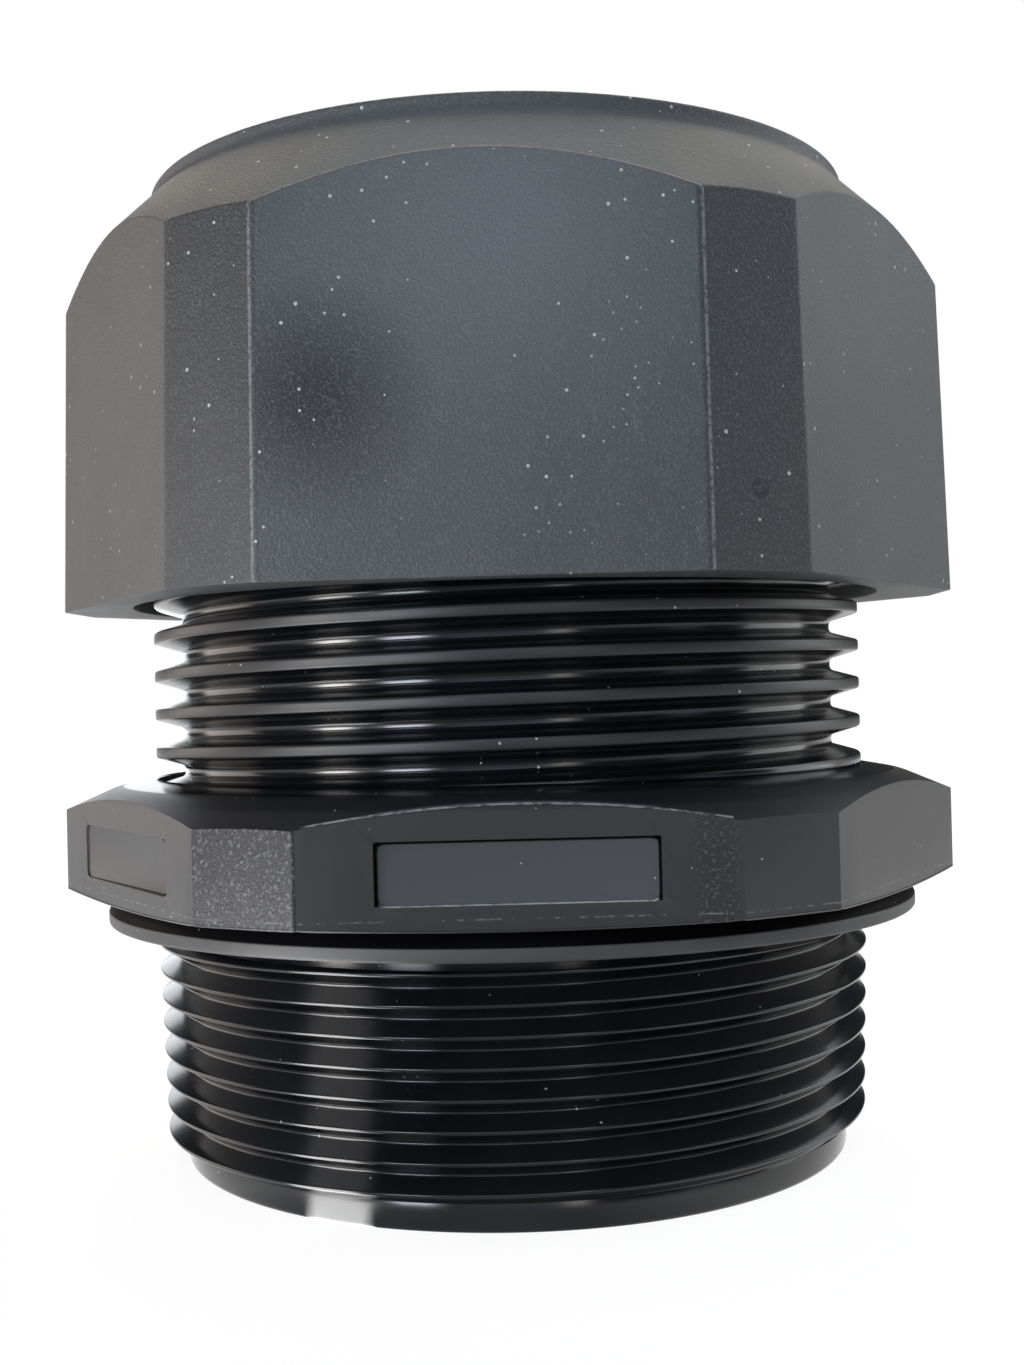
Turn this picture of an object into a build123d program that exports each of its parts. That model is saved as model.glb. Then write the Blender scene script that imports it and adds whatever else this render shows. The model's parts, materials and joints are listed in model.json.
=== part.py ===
from build123d import *

import os
from math import atan, cos, degrees, radians, sin, tan

# Liquid-tight cord grip with a 2 inch tapered pipe thread, in millimetres.
# The axis is Z, the part stands on its hub end at Z = 0, and -Y is the front.

# Turn from the middle of a wide flat to the middle of the narrow flat beside it
flat_step = 30.0

# Hub: the tapered pipe thread that goes into the box or knockout
inch = 25.4
hub_threads_per_inch = 11.5
hub_taper_on_diameter = 1 / 16
hub_thread_angle = 60.0
hub_thread_depth = 1.75
hub_crest_step = 1.6
hub_crest_flat = 0.12
hub_thread_length = 16.6
hub_thread_edge = 0.15
hub_groove_runout = 0.55
hub_groove_turn_at_pilot = 152.5
pilot_wall = 4.0
pilot_height = 2.2
pilot_edge = 0.4
neck_step = 0.1
neck_length = 1.15
bore_radius = 24.0
bore_edge = 1.0

# Sealing washer under the wrench flange
washer_width = 3.65
washer_thickness = 2.15
washer_slope_height = 1.2
washer_upper_inset = 0.55
washer_lower_round = 0.25
washer_seat_step = 0.28
washer_fit = 0.05

# Wrench flange: six wide flats, with the corners between them cut off by narrow flats
flange_ledge = 4.5
flange_corner_excess = 2.9
flange_side_height = 6.65
flange_edge_round = 0.4
flange_under_rise = 0.4
shoulder_outer_slope = 23.5
shoulder_inner_slope = 10.5
shoulder_break_step = 3.4

# Bare marking panels, sunk into the front flat and the flat to its left
left_panel_turn = -60.0
panel_length = 18.9
panel_height = 4.15
panel_corner = 0.5
front_panel_depth = 0.4
left_panel_deep_end = 0.65
left_panel_shallow_end = 0.05
panel_drop = 0.25

# Grip thread, between the flange and the clamping fingers
grip_pitch = 3.13
grip_wall = 2.27
grip_thread_depth = 2.38
grip_crest_width = 0.88
grip_flank_angle = 16.0
grip_thread_length = 21.2
grip_thread_edge = 0.5
grip_groove_turn_at_shoulder = 160.0
grip_groove_sink = 0.10

# Clamping fingers, moulded on the end of the body
finger_count = 24
finger_length = 9.4
finger_wall = 1.95
finger_slot_width = 1.3
finger_root_height = 1.0
finger_tip_chamfer = 1.0
finger_tip_chamfer_height = 1.5

# Sealing grommet, in its seat inside the fingers
grommet_ledge = 1.35
grommet_seat_depth = 13.4
grommet_side_gap = 0.25
grommet_end_gap = 0.2
grommet_wall = 2.7
grommet_waist_length = 8.0
grommet_mouth_flare = 0.8
grommet_proud = 0.4

# Sealing nut
nut_wall = 4.38
nut_corner_excess = 2.95
nut_draft = 1.3
nut_height = 34.3
nut_turn = -3.2
nut_above_shoulder = 13.75
nut_edge_round = 0.4
nut_shoulder_angle = 44.0
nut_collar_height = 1.16
nut_collar_wall = 6.2
nut_collar_edge = 0.5
nut_opening_margin = 0.9
nut_opening_edge = 0.8
nut_mouth_relief = 1.38
nut_mouth_depth = 1.3
nut_thread_length = 17.5
nut_top_wall = 2.76
nut_cone_angle = 28.0
nut_notch_turn = 152.0
nut_notch_width = 2.0
nut_notch_height = 0.85

# Clearances of the nut on the grip thread
thread_radial_gap = 0.22
thread_flank_gap = 0.2

# How far a cutting profile reaches past the surface that it cuts
overcut = 0.4


def corner_radius(wide, narrow):
    """Radius at which a wide flat of a cut hexagon meets the narrow flat beside it.

    Both flats are given by their distance from the axis.
    """
    half_angle = atan((narrow / wide - cos(radians(flat_step))) / sin(radians(flat_step)))
    return wide / cos(half_angle)


def thread_groove(section, pitch, length, start, turn, cone_angle=0.0):
    """Solid that a section runs through along a helix.

    The section is a list of corners, each a radius and a height above the start.
    """
    rails = []
    for radius, rise in section:
        rail = Edge.make_helix(pitch, length, radius, center=(0, 0, start + rise), angle=cone_angle)
        rails.append(rail.rotate(Axis.Z, turn))
    sides = [Face.make_surface_from_curves(a, b) for a, b in zip(rails, rails[1:] + rails[:1])]
    first_end = Face(Wire.make_polygon([rail @ 0 for rail in rails], close=True))
    last_end = Face(Wire.make_polygon([rail @ 1 for rail in rails], close=True))
    return Solid(Shell(sides + [first_end, last_end]))


def turned_plane(angle, height):
    """Horizontal plane on the axis, with its X turned to an angle."""
    outward = Vector(cos(radians(angle)), sin(radians(angle)), 0)
    return Plane(origin=(0, 0, height), x_dir=outward, z_dir=(0, 0, 1))


def flat_plane(turn, inset, height, tilt=0.0):
    """Plane on a flat that faces -Y turned about Z, facing outward and sunk by an inset."""
    outward = Vector(sin(radians(turn)), -cos(radians(turn)), 0)
    along = Vector(cos(radians(turn + tilt)), sin(radians(turn + tilt)), 0)
    facing = Vector(sin(radians(turn + tilt)), -cos(radians(turn + tilt)), 0)
    return Plane(origin=outward * inset + Vector(0, 0, height), x_dir=along, z_dir=facing)


# Radii, from the bore outward
pilot_radius = bore_radius + pilot_wall
hub_crest_radius = pilot_radius + hub_crest_step
hub_taper_on_radius = hub_taper_on_diameter / 2
hub_crest_radius_at_top = hub_crest_radius + hub_thread_length * hub_taper_on_radius
neck_radius = pilot_radius + neck_step
washer_seat_radius = hub_crest_radius_at_top + washer_seat_step
washer_inner_radius = washer_seat_radius + washer_fit
washer_radius = washer_inner_radius + washer_width
grommet_seat_radius = bore_radius + grommet_ledge
grommet_outer_radius = grommet_seat_radius - grommet_side_gap
grommet_bore_radius = grommet_outer_radius - grommet_wall
finger_outer_radius = grommet_seat_radius + finger_wall
grip_root_radius = grommet_seat_radius + grip_wall
grip_crest_radius = grip_root_radius + grip_thread_depth
shoulder_break_radius = grip_crest_radius + shoulder_break_step
flange_wide_reach = grip_crest_radius + flange_ledge
flange_narrow_reach = flange_wide_reach + flange_corner_excess
flange_corner_radius = corner_radius(flange_wide_reach, flange_narrow_reach)

# Heights along the axis, from the hub end up
hub_pitch = inch / hub_threads_per_inch
hub_thread_top = pilot_height + hub_thread_length
washer_bottom = hub_thread_top + neck_length
flange_bottom = washer_bottom + washer_thickness
flange_corner_bottom = flange_bottom + flange_under_rise
flange_corner_top = flange_corner_bottom + flange_side_height
shoulder_outer_run = flange_corner_radius - shoulder_break_radius
shoulder_break_height = flange_corner_top + shoulder_outer_run * tan(radians(shoulder_outer_slope))
shoulder_inner_run = shoulder_break_radius - grip_root_radius
shoulder_top = shoulder_break_height + shoulder_inner_run * tan(radians(shoulder_inner_slope))
grip_thread_top = shoulder_top + grip_thread_length
finger_base = grip_thread_top
finger_tip = finger_base + finger_length
grommet_seat_height = finger_tip - grommet_seat_depth
nut_bottom = shoulder_top + nut_above_shoulder
nut_top = nut_bottom + nut_height

# Hub thread groove, as half widths of its section
hub_half_tan = tan(radians(hub_thread_angle / 2))
hub_groove_half_width = (hub_pitch - hub_crest_flat) / 2
hub_root_half_width = hub_groove_half_width - hub_thread_depth * hub_half_tan
hub_mouth_half_width = hub_groove_half_width + overcut * hub_half_tan
hub_groove_start = pilot_height + hub_thread_edge + hub_groove_half_width + hub_crest_flat
hub_groove_end = hub_thread_top + hub_groove_runout
hub_groove_start_radius = hub_crest_radius + (hub_groove_start - pilot_height) * hub_taper_on_radius
hub_groove_root_radius = hub_groove_start_radius - hub_thread_depth
hub_groove_mouth_radius = hub_groove_start_radius + overcut
hub_cone_angle = degrees(atan(hub_taper_on_radius))

# Grip thread groove on the body, as half widths of its section
grip_flank_tan = tan(radians(grip_flank_angle))
grip_groove_half_width = (grip_pitch - grip_crest_width) / 2
grip_root_half_width = grip_groove_half_width - grip_thread_depth * grip_flank_tan
grip_mouth_half_width = grip_groove_half_width + overcut * grip_flank_tan
grip_groove_start = shoulder_top - grip_groove_sink
grip_groove_end = grip_thread_top + grip_pitch


def grip_ridge_angle(height):
    """Direction in which the ridge of the grip thread passes a height."""
    climb = height - grip_groove_start - grip_pitch / 2
    return grip_groove_turn_at_shoulder + 360 * climb / grip_pitch


# Body: hub, wrench flange, grip thread and clamping fingers, moulded as one piece
with BuildPart() as cord_grip_body:
    with BuildSketch(Plane.XY.offset(flange_bottom)) as flange_outline:
        RegularPolygon(flange_wide_reach, 6, major_radius=False)
        RegularPolygon(
            flange_narrow_reach, 6, major_radius=False, rotation=flat_step, mode=Mode.INTERSECT
        )
        fillet(flange_outline.vertices(), flange_edge_round)
    extrude(amount=shoulder_top - flange_bottom)

    # Cone of the shoulder above and of the underside below
    with BuildSketch(Plane.XZ) as flange_envelope:
        with BuildLine():
            Polyline(
                (0, flange_bottom),
                (washer_radius, flange_bottom),
                (flange_corner_radius, flange_corner_bottom),
                (flange_corner_radius, flange_corner_top),
                (shoulder_break_radius, shoulder_break_height),
                (grip_root_radius, shoulder_top),
                (0, shoulder_top),
                close=True,
            )
        make_face()
    revolve(axis=Axis.Z, mode=Mode.INTERSECT)

    # Hub below the flange
    with BuildSketch(Plane.XZ) as hub_profile:
        with BuildLine():
            Polyline(
                (0, 0),
                (pilot_radius - pilot_edge, 0),
                (pilot_radius, pilot_edge),
                (pilot_radius, pilot_height),
                (hub_crest_radius - hub_thread_edge, pilot_height),
                (hub_crest_radius, pilot_height + hub_thread_edge),
                (hub_crest_radius_at_top, hub_thread_top),
                (neck_radius, hub_thread_top + (hub_crest_radius_at_top - neck_radius) * hub_half_tan),
                (neck_radius, washer_bottom),
                (washer_seat_radius, washer_bottom),
                (washer_seat_radius, flange_bottom),
                (0, flange_bottom),
                close=True,
            )
        make_face()
    revolve(axis=Axis.Z)

    # Threaded stem above the flange, and the ring that the fingers are cut from
    with BuildSketch(Plane.XZ) as stem_profile:
        with BuildLine():
            Polyline(
                (0, shoulder_break_height),
                (grip_crest_radius, shoulder_break_height),
                (grip_crest_radius, grip_thread_top - grip_thread_edge),
                (grip_crest_radius - grip_thread_edge, grip_thread_top),
                (finger_outer_radius, finger_base),
                (finger_outer_radius, finger_tip - finger_tip_chamfer_height),
                (finger_outer_radius - finger_tip_chamfer, finger_tip),
                (0, finger_tip),
                close=True,
            )
        make_face()
    revolve(axis=Axis.Z)

    # Through bore, and the wider seat of the grommet
    with BuildSketch(Plane.XZ) as bore_profile:
        with BuildLine():
            Polyline(
                (0, 0),
                (bore_radius + bore_edge, 0),
                (bore_radius, bore_edge),
                (bore_radius, grommet_seat_height),
                (grommet_seat_radius, grommet_seat_height),
                (grommet_seat_radius, finger_tip),
                (0, finger_tip),
                close=True,
            )
        make_face()
    revolve(axis=Axis.Z, mode=Mode.SUBTRACT)

    # Groove of the tapered pipe thread
    hub_groove = thread_groove(
        [
            (hub_groove_root_radius, -hub_root_half_width),
            (hub_groove_mouth_radius, -hub_mouth_half_width),
            (hub_groove_mouth_radius, hub_mouth_half_width),
            (hub_groove_root_radius, hub_root_half_width),
        ],
        hub_pitch,
        hub_groove_end - hub_groove_start,
        hub_groove_start,
        hub_groove_turn_at_pilot,
        hub_cone_angle,
    )
    add(hub_groove, mode=Mode.SUBTRACT)

    # Groove of the grip thread
    grip_groove = thread_groove(
        [
            (grip_root_radius, -grip_root_half_width),
            (grip_crest_radius + overcut, -grip_mouth_half_width),
            (grip_crest_radius + overcut, grip_mouth_half_width),
            (grip_root_radius, grip_root_half_width),
        ],
        grip_pitch,
        grip_groove_end - grip_groove_start,
        grip_groove_start,
        grip_groove_turn_at_shoulder,
    )
    add(grip_groove, mode=Mode.SUBTRACT)

    # Slots between the fingers
    finger_middle_radius = (finger_outer_radius + grommet_seat_radius) / 2
    with BuildSketch(Plane.XY.offset(finger_base + finger_root_height)):
        with PolarLocations(finger_middle_radius, finger_count):
            Rectangle(2 * finger_wall, finger_slot_width)
    extrude(amount=finger_length, mode=Mode.SUBTRACT)

    # Bare marking panels
    panel_middle = (flange_corner_bottom + flange_corner_top) / 2 + panel_drop
    with BuildSketch(flat_plane(0, flange_wide_reach - front_panel_depth, panel_middle)):
        RectangleRounded(panel_length, panel_height, panel_corner)
    extrude(amount=flange_wide_reach, mode=Mode.SUBTRACT)
    left_panel_depth = (left_panel_deep_end + left_panel_shallow_end) / 2
    left_panel_tilt = degrees(atan((left_panel_deep_end - left_panel_shallow_end) / panel_length))
    left_panel_inset = flange_wide_reach - left_panel_depth
    with BuildSketch(flat_plane(left_panel_turn, left_panel_inset, panel_middle, left_panel_tilt)):
        RectangleRounded(panel_length, panel_height, panel_corner)
    extrude(amount=flange_wide_reach, mode=Mode.SUBTRACT)

cord_grip_body.part.label = "cord_grip_body"


# Sealing washer: a rubber ring with a sloped upper rim
with BuildPart() as sealing_washer:
    with BuildSketch(Plane.XZ) as washer_profile:
        with BuildLine():
            Polyline(
                (washer_inner_radius, washer_bottom),
                (washer_radius, washer_bottom),
                (washer_radius, flange_bottom - washer_slope_height),
                (washer_radius - washer_upper_inset, flange_bottom),
                (washer_inner_radius, flange_bottom),
                close=True,
            )
        make_face()
        lower_rim = washer_profile.vertices().sort_by(Axis.X)[-2:].sort_by(Axis.Y)[0]
        fillet(lower_rim, washer_lower_round)
    revolve(axis=Axis.Z)

sealing_washer.part.label = "sealing_washer"


# Sealing grommet: an elastomer bush with a flared mouth at each end
grommet_bottom = grommet_seat_height + grommet_end_gap
grommet_top = finger_tip + grommet_proud
grommet_middle = (grommet_bottom + grommet_top) / 2
with BuildPart() as sealing_grommet:
    with BuildSketch(Plane.XZ):
        with BuildLine():
            Polyline(
                (grommet_bore_radius + grommet_mouth_flare, grommet_bottom),
                (grommet_outer_radius, grommet_bottom),
                (grommet_outer_radius, grommet_top),
                (grommet_bore_radius + grommet_mouth_flare, grommet_top),
                (grommet_bore_radius, grommet_middle + grommet_waist_length / 2),
                (grommet_bore_radius, grommet_middle - grommet_waist_length / 2),
                close=True,
            )
        make_face()
    revolve(axis=Axis.Z)

sealing_grommet.part.label = "sealing_grommet"


# Sealing nut: drafted flats outside, thread and closing cone inside
nut_minor_radius = grip_root_radius + thread_radial_gap
nut_major_radius = grip_crest_radius + thread_radial_gap
nut_thread_top = nut_bottom + nut_thread_length
nut_mouth_radius = nut_major_radius + nut_mouth_relief
nut_opening_radius = grommet_bore_radius + nut_opening_margin
nut_collar_radius = nut_opening_radius + nut_collar_wall
nut_cone_top = nut_top - nut_top_wall
nut_cone_bottom = nut_cone_top - (nut_minor_radius - nut_opening_radius) / tan(radians(nut_cone_angle))
nut_wide_reach = nut_major_radius + nut_wall
nut_narrow_reach = nut_wide_reach + nut_corner_excess
nut_shoulder_tan = tan(radians(nut_shoulder_angle))
nut_collar_bottom = nut_top - nut_collar_height
nut_blank_radius = corner_radius(nut_wide_reach, nut_narrow_reach) + overcut
nut_blank_shoulder = nut_collar_bottom - (nut_blank_radius - nut_collar_radius) * nut_shoulder_tan
nut_groove_start = nut_bottom - grip_pitch / 2
nut_groove_turn = grip_ridge_angle(nut_groove_start)
nut_groove_half_width = grip_crest_width / 2 + thread_flank_gap - thread_radial_gap * grip_flank_tan
nut_groove_reach = nut_major_radius - nut_minor_radius + overcut
nut_groove_mouth_half_width = nut_groove_half_width + nut_groove_reach * grip_flank_tan

with BuildPart() as sealing_nut:
    with BuildSketch(Plane.XY.offset(nut_bottom)):
        RegularPolygon(nut_wide_reach, 6, major_radius=False, rotation=nut_turn)
        RegularPolygon(
            nut_narrow_reach,
            6,
            major_radius=False,
            rotation=nut_turn + flat_step,
            mode=Mode.INTERSECT,
        )
    extrude(amount=nut_height, taper=nut_draft)
    upright_edges = [edge for edge in sealing_nut.edges() if edge.bounding_box().size.Z > nut_height / 2]
    fillet(upright_edges, nut_edge_round)

    # Shoulder cone and collar, which trim the tops of the flats to arcs
    with BuildSketch(Plane.XZ) as nut_envelope:
        with BuildLine():
            Polyline(
                (0, nut_bottom),
                (nut_blank_radius, nut_bottom),
                (nut_blank_radius, nut_blank_shoulder),
                (nut_collar_radius, nut_collar_bottom),
                (nut_collar_radius, nut_top - nut_collar_edge),
                (nut_collar_radius - nut_collar_edge, nut_top),
                (0, nut_top),
                close=True,
            )
        make_face()
    revolve(axis=Axis.Z, mode=Mode.INTERSECT)

    # Hollow inside: mouth, thread bore, closing cone and cable opening
    with BuildSketch(Plane.XZ) as nut_hollow:
        with BuildLine():
            Polyline(
                (0, nut_bottom),
                (nut_mouth_radius, nut_bottom),
                (nut_mouth_radius, nut_bottom + nut_mouth_depth),
                (nut_minor_radius, nut_bottom + nut_mouth_depth),
                (nut_minor_radius, nut_cone_bottom),
                (nut_opening_radius, nut_cone_top),
                (nut_opening_radius, nut_top - nut_opening_edge),
                (nut_opening_radius + nut_opening_edge, nut_top),
                (0, nut_top),
                close=True,
            )
        make_face()
    revolve(axis=Axis.Z, mode=Mode.SUBTRACT)

    # Thread groove that the ridge of the grip thread runs in
    nut_groove = thread_groove(
        [
            (nut_major_radius, -nut_groove_half_width),
            (nut_major_radius, nut_groove_half_width),
            (nut_minor_radius - overcut, nut_groove_mouth_half_width),
            (nut_minor_radius - overcut, -nut_groove_mouth_half_width),
        ],
        grip_pitch,
        nut_thread_top - nut_groove_start,
        nut_groove_start,
        nut_groove_turn,
    )
    add(nut_groove, mode=Mode.SUBTRACT)

    # Small notch in the lower rim
    nut_notch_length = nut_blank_radius - nut_mouth_radius + overcut
    with BuildSketch(turned_plane(nut_notch_turn, nut_bottom)):
        with Locations((nut_blank_radius, 0)):
            Rectangle(2 * nut_notch_length, nut_notch_width)
    extrude(amount=nut_notch_height, mode=Mode.SUBTRACT)

sealing_nut.part.label = "sealing_nut"


os.makedirs("parts", exist_ok=True)
export_step(cord_grip_body.part, "parts/cord_grip_body.step")
export_step(sealing_washer.part, "parts/sealing_washer.step")
export_step(sealing_grommet.part, "parts/sealing_grommet.step")
export_step(sealing_nut.part, "parts/sealing_nut.step")
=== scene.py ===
import json
import math

import bpy
from mathutils import Matrix, Vector

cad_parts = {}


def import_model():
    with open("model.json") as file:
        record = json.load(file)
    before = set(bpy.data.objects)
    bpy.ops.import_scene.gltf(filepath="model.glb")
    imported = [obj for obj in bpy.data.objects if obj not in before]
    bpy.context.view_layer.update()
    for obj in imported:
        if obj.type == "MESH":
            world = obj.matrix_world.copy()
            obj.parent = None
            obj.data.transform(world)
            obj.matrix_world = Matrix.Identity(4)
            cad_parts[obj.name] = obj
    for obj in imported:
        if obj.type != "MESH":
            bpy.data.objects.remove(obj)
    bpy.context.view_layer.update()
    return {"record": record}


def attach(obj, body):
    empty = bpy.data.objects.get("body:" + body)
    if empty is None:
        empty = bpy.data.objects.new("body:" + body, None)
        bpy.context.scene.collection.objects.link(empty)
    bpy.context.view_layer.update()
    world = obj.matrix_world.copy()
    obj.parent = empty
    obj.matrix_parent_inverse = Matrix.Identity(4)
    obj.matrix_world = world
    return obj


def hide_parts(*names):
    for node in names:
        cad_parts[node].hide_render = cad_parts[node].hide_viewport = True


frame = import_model()

# Sizes are in millimetres until they reach Blender, which works in metres
MM = 0.001
WELD = 0.002 * MM
ROUND_STEPS = 180

# Heights along the axis, from the hub end up
PILOT_TOP = 2.2
HUB_THREAD_TOP = 18.8
WASHER_BOTTOM = 19.95
FLANGE_BOTTOM = 22.1
FLANGE_CORNER_BOTTOM = 22.5
FLANGE_CORNER_TOP = 29.15
SHOULDER_BREAK = 30.99
SHOULDER_TOP = 32.06
GRIP_THREAD_TOP = 53.26
GROMMET_SEAT = 49.26
FINGER_TIP = 62.66
NUT_BOTTOM = 45.81
NUT_TOP = 80.11

# Radii and reaches of the body
BORE = 24.0
PILOT = 28.0
HUB_CREST = 29.6
HUB_CREST_WIDTH = 0.2
HUB_CREST_ROUND = 0.12
HUB_ROOT_ROUND = 0.17
HUB_PITCH = 25.4 / 11.5
HUB_RIDGE_AT_ZERO_TURN = 3.682
HUB_TAPER = 1 / 32
NECK = 28.1
HUB_CORE = NECK - 0.7
WASHER_SEAT = 30.4
WASHER_INNER = 30.45
WASHER_OUTER = 34.1
FLANGE_WIDE = 34.5
FLANGE_NARROW = 37.4
FLANGE_CORNER = 37.64
FLANGE_CHAMFER = 0.28
FLANGE_EDGE_ROUND = 0.1
SHOULDER_BREAK_RADIUS = 33.4
GRIP_CREST = 30.0
GRIP_ROOT = 27.62
GRIP_PITCH = 3.13
GRIP_CREST_WIDTH = 0.88
GRIP_FLANK = math.radians(16)
GRIP_RIDGE_AT_ZERO_TURN = 35.265
GRIP_CREST_ROUND = 0.28
GRIP_ROOT_ROUND = 0.42
GRIP_CORE = GRIP_ROOT - 0.2
GROMMET_SEAT_RADIUS = 25.35
FINGER_OUTER = 27.3
FINGER_COUNT = 24
FINGER_SLOT = 1.3
FINGER_SLOPE_WIDTH = 1
FINGER_SLOPE_HEIGHT = 1.5
FINGER_ROOT = 1
BORE_CHAMFER = 1
PILOT_LIP_ROUND = 0.4
PILOT_STEP_ROUND = 0.1
WASHER_SLOPE_WIDTH = 0.55
WASHER_SLOPE_HEIGHT = 1.2

# How far the shells of one piece reach into one another
OVERLAP = 0.2

# Marking panels of the flange
PANEL_LENGTH = 18.9
PANEL_HEIGHT = 4.15
PANEL_MIDDLE = (FLANGE_CORNER_BOTTOM + FLANGE_CORNER_TOP) / 2 + 0.25
PANEL_TOP = PANEL_MIDDLE + PANEL_HEIGHT / 2
PANEL_BOTTOM = PANEL_MIDDLE - PANEL_HEIGHT / 2
PANEL_END = PANEL_LENGTH / 2
PANEL_CORNER = 0.5
PANEL_DEPTH = 0.4
LEFT_PANEL_SLANT = 0.5
CUTTER_THICKNESS = 4

# Radii and reaches of the nut
NUT_WIDE = 34.6
NUT_NARROW = 37.55
NUT_CORNER = 37.79
NUT_DRAFT = math.radians(1.3)
NUT_TURN = math.radians(-3.2)
NUT_SHOULDER = math.radians(44)
NUT_COLLAR = 29.5
NUT_COLLAR_HEIGHT = 1.16
NUT_MOUTH = 31.6
NUT_MOUTH_DEPTH = 1.3
NUT_WALL_INSIDE = 30.6
NUT_THREAD_TOP = 63.31
NUT_CONE_BOTTOM = 68.81
NUT_OPENING = 23.3
NUT_OPENING_TOP_WALL = 2.76
NUT_EDGE_ROUND = 0.13
NUT_COLLAR_FILLET = 1.3
NUT_COLLAR_ROUND = 0.35
NUT_OPENING_CHAMFER = 0.8
NUT_THREAD_LAP = 0.3
GATE_MARK_HEIGHT = 51.4
GATE_MARK_SIDE = 0.1
GATE_MARK_RADIUS = 0.5
GATE_MARK_GROOVE = 0.2
RIM_NOTCH = (10, 2, 1.7)
RIM_NOTCH_TURN = math.radians(152)

# The nut's thread stands off from the grip thread by this much
THREAD_GAP = 0.22

# Grommet: play in its seat, rise above the fingers, bore and the flare at both ends
GROMMET_END_PLAY = 0.2
GROMMET_SIDE_PLAY = 0.25
GROMMET_RISE = 0.4
GROMMET_BORE = NUT_OPENING - 0.9
GROMMET_FLARE = 0.8
GROMMET_HALF_STRAIGHT = 4
GROMMET_ROUND = 0.3

# Places of the painted highlight, the smudge and the dust on the front flat of the nut, and of the parting
# line on the flange, where a highlight is painted
FRONT_HIGHLIGHT_PLACE = (0.0, -34.0, 70.0)
SMUDGE_PLACE = (-13.0, -34.3, 58.2)
DUSTY_PLACE = (8.0, -34.4, 54.5)
PARTING_HEIGHT = 22.95

# Grain of the nut, in features to the metre
NUT_GRAIN = 5200.0

# Floor: strength of its white, the share of that close to the object, and its brightness
# in glossy reflections close by, in one window, all round, and more at the right and the left
FLOOR_STRENGTH = 1.09
FLOOR_WHITE = 0.85
GLOW_CLOSE = 0.36
GLOW_WINDOW = 12.5
GLOW_ROUND = 0.12
GLOW_RIGHT = 0.62
GLOW_LEFT = 0.85

# Lamps: name, azimuth from the front towards the right and elevation in degrees,
# width and height in metres, and power in watts of red, green and blue
LAMP_DISTANCE = 0.6
LAMP_AIM_HEIGHT = 0.04
LAMPS = (
    ("left_wall", -112, 8, 0.34, 0.5, (1.40, 1.22, 1.10)),
    ("left_window", -59, 4, 0.12, 0.12, (1.15, 1.12, 1.08)),
    ("left_glint", -34, 4, 0.14, 0.12, (0.84, 0.93, 1.05)),
    ("front", -2, 8, 0.34, 0.5, (0.28, 0.31, 0.38)),
    ("right_glint", 17, 5, 0.07, 0.3, (0.24, 0.235, 0.22)),
    ("right_corner", 60, 8, 0.14, 0.5, (0.06, 0.08, 0.11)),
    ("right_wall", 104, 8, 0.36, 0.5, (1.25, 1.27, 1.28)),
    ("back", -165, 8, 0.3, 0.5, (0.80, 0.82, 0.86)),
    ("front_sky", 0, 40, 0.5, 0.4, (0.56, 0.66, 0.75)),
    ("right_sky", 115, 42, 0.5, 0.4, (0.80, 0.82, 0.86)),
    ("back_sky", 180, 50, 0.5, 0.4, (2.57, 2.34, 1.85)),
    ("top_sky", 0, 88, 0.6, 0.6, (0.66, 0.62, 0.66)),
)

# Camera, fitted to the outline of the object in the photograph
CAMERA_PLACE = (-1.89, -145.93, 37.73)
CAMERA_FORWARD = (0.01584, 1, 0.00862)
CAMERA_ROLL = math.radians(1.37)
CAMERA_LENS = 44.18
CAMERA_SENSOR = 36


def clear_selection():
    """Leave edit mode and select nothing."""
    if bpy.context.object and bpy.context.object.mode != "OBJECT":
        bpy.ops.object.mode_set(mode="OBJECT")
    bpy.ops.object.select_all(action="DESELECT")


def pick(piece):
    """Leave one piece selected and active."""
    clear_selection()
    piece.select_set(True)
    bpy.context.view_layer.objects.active = piece


def edit_all(piece):
    """Open a piece in edit mode with all of it selected."""
    pick(piece)
    bpy.ops.object.mode_set(mode="EDIT")
    bpy.ops.mesh.select_all(action="SELECT")


def settle(piece):
    """Close edit mode and put the piece's place into its mesh."""
    bpy.ops.object.mode_set(mode="OBJECT")
    pick(piece)
    bpy.ops.object.transform_apply(location=True, rotation=True, scale=True)


def face_outward(piece):
    """Weld doubles and turn every face outward."""
    edit_all(piece)
    bpy.ops.mesh.remove_doubles(threshold=WELD)
    bpy.ops.mesh.normals_make_consistent(inside=False)
    bpy.ops.object.mode_set(mode="OBJECT")


def slice_off(place, facing):
    """Cut away what lies beyond a plane, in edit mode, and close the cut."""
    bpy.ops.mesh.bisect(
        plane_co=place, plane_no=facing, use_fill=True, clear_outer=True, threshold=WELD / 100
    )


def apply_modifier(piece, modifier):
    """Make a modifier part of the mesh."""
    pick(piece)
    bpy.ops.object.modifier_apply(modifier=modifier.name)


def draw_outline(name, corners, closed=True):
    """Edges through corners of (radius, height), drawn by extruding one point from corner to corner."""
    clear_selection()
    radius, height = corners[0]
    bpy.ops.mesh.primitive_plane_add(size=MM, location=(radius * MM, 0, height * MM))
    piece = bpy.context.object
    piece.name = name
    bpy.ops.object.mode_set(mode="EDIT")
    bpy.ops.mesh.merge(type="CENTER")
    route = corners + corners[:1] if closed else corners
    for here, there in zip(route, route[1:]):
        step = ((there[0] - here[0]) * MM, 0, (there[1] - here[1]) * MM)
        bpy.ops.mesh.extrude_vertices_move(TRANSFORM_OT_translate={"value": step})
    bpy.ops.mesh.select_all(action="SELECT")
    bpy.ops.mesh.remove_doubles(threshold=WELD)
    settle(piece)
    return piece


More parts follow.
